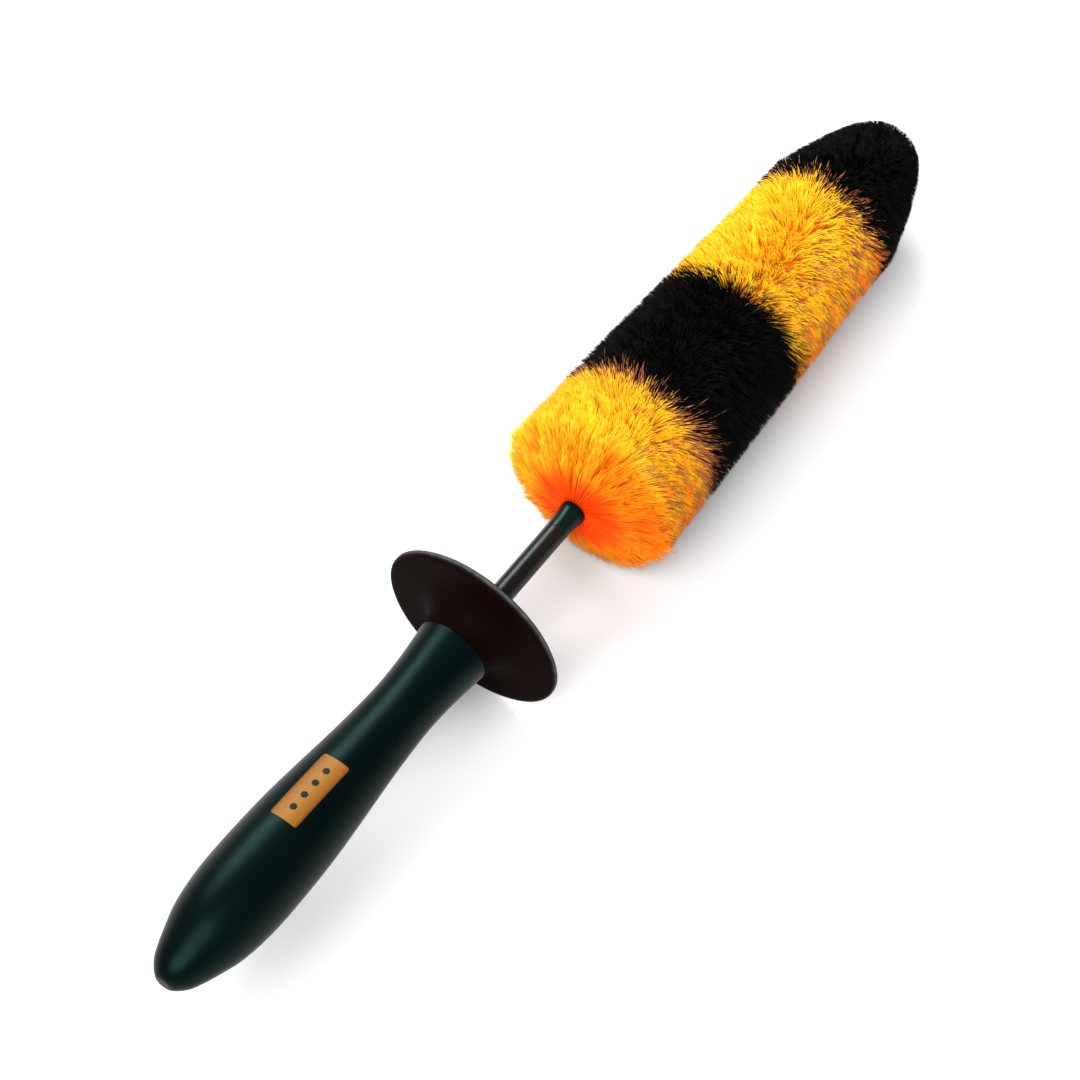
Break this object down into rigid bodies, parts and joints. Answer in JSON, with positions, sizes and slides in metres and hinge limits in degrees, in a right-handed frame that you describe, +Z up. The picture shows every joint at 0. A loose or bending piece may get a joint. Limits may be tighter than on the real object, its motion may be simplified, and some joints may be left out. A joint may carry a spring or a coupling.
{
  "type": "bee brush",
  "caption": "Round brush with a striped yellow and black bristle head on a wire core, a dark stem, a disc hand guard and a swelled plastic grip.",
  "frame": {"origin": "on the surface the brush lies on, below the middle of its length and its axis", "axes": "+X along the brush from the grip's butt to the head's tip, +Z up, the label on the upper side"},
  "size_m": [0.428, 0.069, 0.069],
  "materials": {
    "grip_plastic": "satin gloss, very dark green",
    "guard_plastic": "fine matte, brown-black",
    "socket_plastic": "matte black",
    "stem_plastic": "satin gloss, black",
    "core_steel": "drawn galvanised wire",
    "bristle_yellow": "soft dyed fibre, yellow at the ends and orange at the roots",
    "bristle_black": "soft dyed fibre, black",
    "label_film": "satin printed film, orange, no lettering"
  },
  "bodies": {
    "root": {"handle_grip": "grip_plastic", "guard_disc": "guard_plastic", "stem_socket": "socket_plastic", "stem_sleeve": "stem_plastic", "stem_ferrule": "stem_plastic", "core_wire_a": "core_steel", "core_wire_b": "core_steel", "wire_end_crimp": "core_steel", "wire_tip_cap": "socket_plastic", "bristles_yellow_rear": "bristle_yellow", "bristles_black_middle": "bristle_black", "bristles_yellow_front": "bristle_yellow", "bristles_black_tip": "bristle_black", "label_plate": "label_film"}
  },
  "joints": []
}
